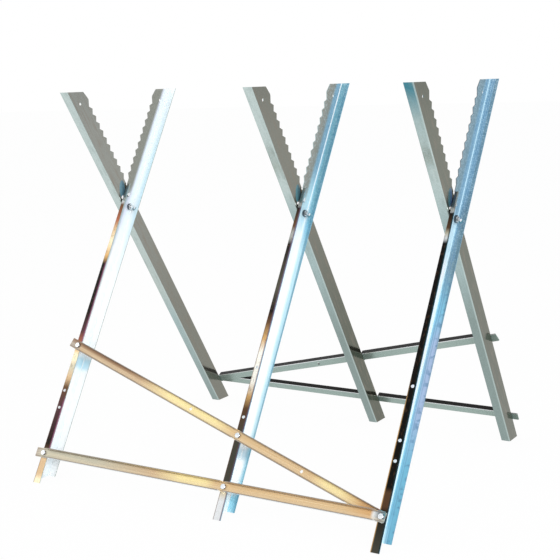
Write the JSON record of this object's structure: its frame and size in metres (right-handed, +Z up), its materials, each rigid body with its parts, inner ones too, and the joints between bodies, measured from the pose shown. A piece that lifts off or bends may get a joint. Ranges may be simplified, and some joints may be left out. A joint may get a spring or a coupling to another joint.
{
  "type": "log sawhorse",
  "caption": "Folding log sawhorse of pressed steel channel: crossed legs with toothed upper arms, joined by lower and diagonal braces.",
  "frame": {"origin": "on the floor, under the middle of the stand's box", "axes": "+X along the log, from the wide bay to the narrow bay; -Y is the front; +Z is up"},
  "size_m": [0.84, 0.742, 0.8],
  "materials": {
    "leg_zinc": "bright zinc-plated sheet steel with faint lengthwise streaks",
    "brace_zinc": "bright zinc-plated sheet steel with a warm tint",
    "bolt_zinc": "zinc-plated bolts, nuts and washers"
  },
  "bodies": {
    "rear_frame": {"rear_leg_left": "leg_zinc", "rear_leg_middle": "leg_zinc", "rear_leg_right": "leg_zinc", "rear_lower_brace": "brace_zinc", "rear_diagonal_brace": "brace_zinc", "rear_brace_bolts": "bolt_zinc", "rear_brace_nuts": "bolt_zinc", "rear_brace_spacers": "bolt_zinc"},
    "front_frame": {"front_leg_left": "leg_zinc", "front_leg_middle": "leg_zinc", "front_leg_right": "leg_zinc", "front_lower_brace": "brace_zinc", "front_diagonal_brace": "brace_zinc", "pivot_bolts": "bolt_zinc", "pivot_nuts": "bolt_zinc", "pivot_spacers": "bolt_zinc", "pivot_washers": "bolt_zinc", "stop_bolts": "bolt_zinc", "stop_nuts": "bolt_zinc", "stop_spacers": "bolt_zinc", "stop_washers": "bolt_zinc", "front_brace_bolts": "bolt_zinc", "front_brace_nuts": "bolt_zinc", "front_brace_spacers": "bolt_zinc"}
  },
  "joints": [
    {"name": "fold", "type": "hinge", "parent": "rear_frame", "child": "front_frame", "pos_m": [0, 0, 0.541], "axis": [1, 0, 0], "range_deg": [0, 36]}
  ]
}
